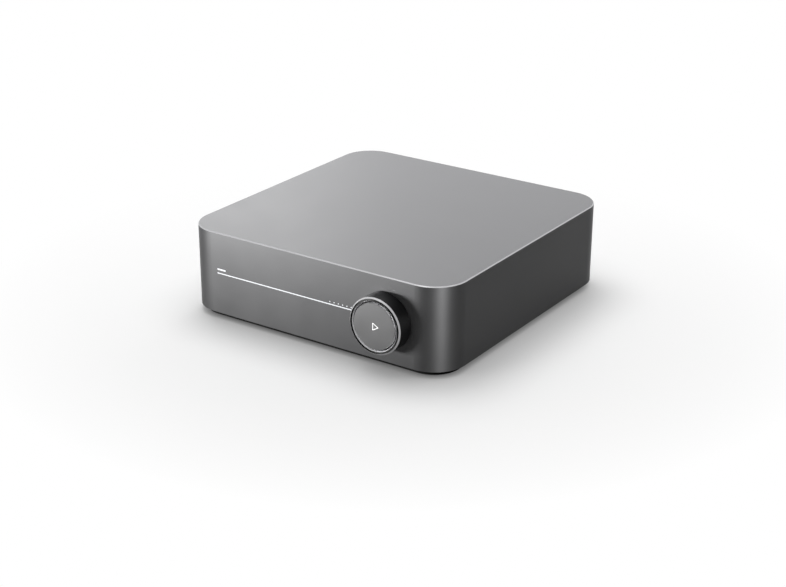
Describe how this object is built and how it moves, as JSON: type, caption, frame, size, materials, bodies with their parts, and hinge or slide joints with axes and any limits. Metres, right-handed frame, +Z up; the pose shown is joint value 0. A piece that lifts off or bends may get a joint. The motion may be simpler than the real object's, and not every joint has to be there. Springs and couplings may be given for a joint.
{
  "type": "streaming amplifier",
  "caption": "Low square aluminium streaming amplifier with rounded corners, a large turning volume knob around a push button, a light line and rear sockets.",
  "frame": {"origin": "on the floor under the middle of the square housing, in the plane of the feet's undersides", "axes": "+X to the right seen from the front, +Y to the rear, +Z up; the knob looks along -Y"},
  "size_m": [0.19, 0.2266, 0.057],
  "materials": {
    "housing": "satin anodised, fine bead blast",
    "base_plate": "matt black",
    "feet": "matt black",
    "screws": "black oxide",
    "rear_panel": "fine spark texture",
    "light_guide": "frosted white",
    "board": "solder mask",
    "lights": "clear",
    "black_plastic": "matt",
    "shield": "tin plated",
    "chip": "moulded",
    "heatsink": "extruded",
    "ferrite": "sintered",
    "capacitor": "sleeved",
    "winding": "taped",
    "cable": "flat film",
    "pins": "nickel plated",
    "gold": "gold plated",
    "white_plastic": "glossy",
    "red_plastic": "glossy",
    "knob": "satin anodised with a polished bevel",
    "button": "satin anodised"
  },
  "bodies": {
    "housing": {"housing": "housing", "base_plate": "base_plate", "foot_front_left": "feet", "foot_front_right": "feet", "foot_rear_left": "feet", "foot_rear_right": "feet", "base_screws": "screws", "rear_panel": "rear_panel", "rear_panel_screws": "screws", "front_line_inlay": "light_guide", "status_lens": "light_guide", "level_light_guide": "light_guide", "front_board": "board", "front_board_screws": "screws", "front_leds": "lights", "encoder_body": "black_plastic", "button_switch": "black_plastic", "main_board": "board", "power_board": "board", "board_screws": "screws", "wireless_module": "shield", "wireless_antennas": "shield", "amplifier_chip": "chip", "amplifier_heatsink": "heatsink", "output_inductors": "ferrite", "reservoir_capacitors": "capacitor", "transformer_core": "ferrite", "transformer_winding": "winding", "power_heatsink": "heatsink", "power_link": "black_plastic", "front_flat_cable": "cable", "mains_inlet": "black_plastic", "inlet_pins": "pins", "network_socket": "black_plastic", "usb_socket": "shield", "usb_tongue": "black_plastic", "display_socket": "shield", "display_tongue": "black_plastic", "optical_socket": "black_plastic", "jack_block": "black_plastic", "jack_conductors": "gold", "jack_insert_red": "red_plastic", "jack_insert_white": "white_plastic", "jack_insert_black": "black_plastic", "terminal_block": "black_plastic", "terminal_studs": "gold", "speaker_straps": "pins"},
    "volume_knob": {"knob_ring": "knob", "knob_sleeve": "black_plastic"},
    "play_button": {"play_button": "button", "switch_plunger": "black_plastic"},
    "optical_shutter": {"optical_shutter": "black_plastic"},
    "post_nut_left_black": {"terminal_nut_left_black": "gold"},
    "post_cap_left_black": {"terminal_cap_left_black": "black_plastic"},
    "post_nut_left_red": {"terminal_nut_left_red": "gold"},
    "post_cap_left_red": {"terminal_cap_left_red": "red_plastic"},
    "post_nut_right_black": {"terminal_nut_right_black": "gold"},
    "post_cap_right_black": {"terminal_cap_right_black": "black_plastic"},
    "post_nut_right_red": {"terminal_nut_right_red": "gold"},
    "post_cap_right_red": {"terminal_cap_right_red": "red_plastic"}
  },
  "joints": [
    {"name": "volume_turn", "type": "hinge", "parent": "housing", "child": "volume_knob", "pos_m": [0.0549, -0.095, 0.0307], "axis": [0, -1, 0], "continuous": true},
    {"name": "play_press", "type": "slide", "parent": "housing", "child": "play_button", "axis": [0, 1, 0], "range_m": [0, 0.0006], "stiffness_N_per_m": 1500, "springref_m": -0.0006},
    {"name": "optical_flap", "type": "hinge", "parent": "housing", "child": "optical_shutter", "pos_m": [-0.0135, 0.09345, 0.0188], "axis": [-1, 0, 0], "range_deg": [0, 80], "stiffness_Nm_per_rad": 0.0005, "springref_deg": -17.19},
    {"name": "post_travel_left_black", "type": "slide", "parent": "housing", "child": "post_nut_left_black", "axis": [0, 1, 0], "range_m": [0, 0.005]},
    {"name": "post_turn_left_black", "type": "hinge", "parent": "post_nut_left_black", "child": "post_cap_left_black", "pos_m": [-0.039, 0.1, 0.0222], "axis": [0, 1, 0], "range_deg": [0, 1800]},
    {"name": "post_travel_left_red", "type": "slide", "parent": "housing", "child": "post_nut_left_red", "axis": [0, 1, 0], "range_m": [0, 0.005]},
    {"name": "post_turn_left_red", "type": "hinge", "parent": "post_nut_left_red", "child": "post_cap_left_red", "pos_m": [-0.039, 0.1, 0.0412], "axis": [0, 1, 0], "range_deg": [0, 1800]},
    {"name": "post_travel_right_black", "type": "slide", "parent": "housing", "child": "post_nut_right_black", "axis": [0, 1, 0], "range_m": [0, 0.005]},
    {"name": "post_turn_right_black", "type": "hinge", "parent": "post_nut_right_black", "child": "post_cap_right_black", "pos_m": [-0.058, 0.1, 0.0222], "axis": [0, 1, 0], "range_deg": [0, 1800]},
    {"name": "post_travel_right_red", "type": "slide", "parent": "housing", "child": "post_nut_right_red", "axis": [0, 1, 0], "range_m": [0, 0.005]},
    {"name": "post_turn_right_red", "type": "hinge", "parent": "post_nut_right_red", "child": "post_cap_right_red", "pos_m": [-0.058, 0.1, 0.0412], "axis": [0, 1, 0], "range_deg": [0, 1800]}
  ],
  "couplings": [
    {"joint": "post_turn_left_black", "follows": "post_travel_left_black", "rad_per_m": 6283.2},
    {"joint": "post_turn_left_red", "follows": "post_travel_left_red", "rad_per_m": 6283.2},
    {"joint": "post_turn_right_black", "follows": "post_travel_right_black", "rad_per_m": 6283.2},
    {"joint": "post_turn_right_red", "follows": "post_travel_right_red", "rad_per_m": 6283.2}
  ]
}
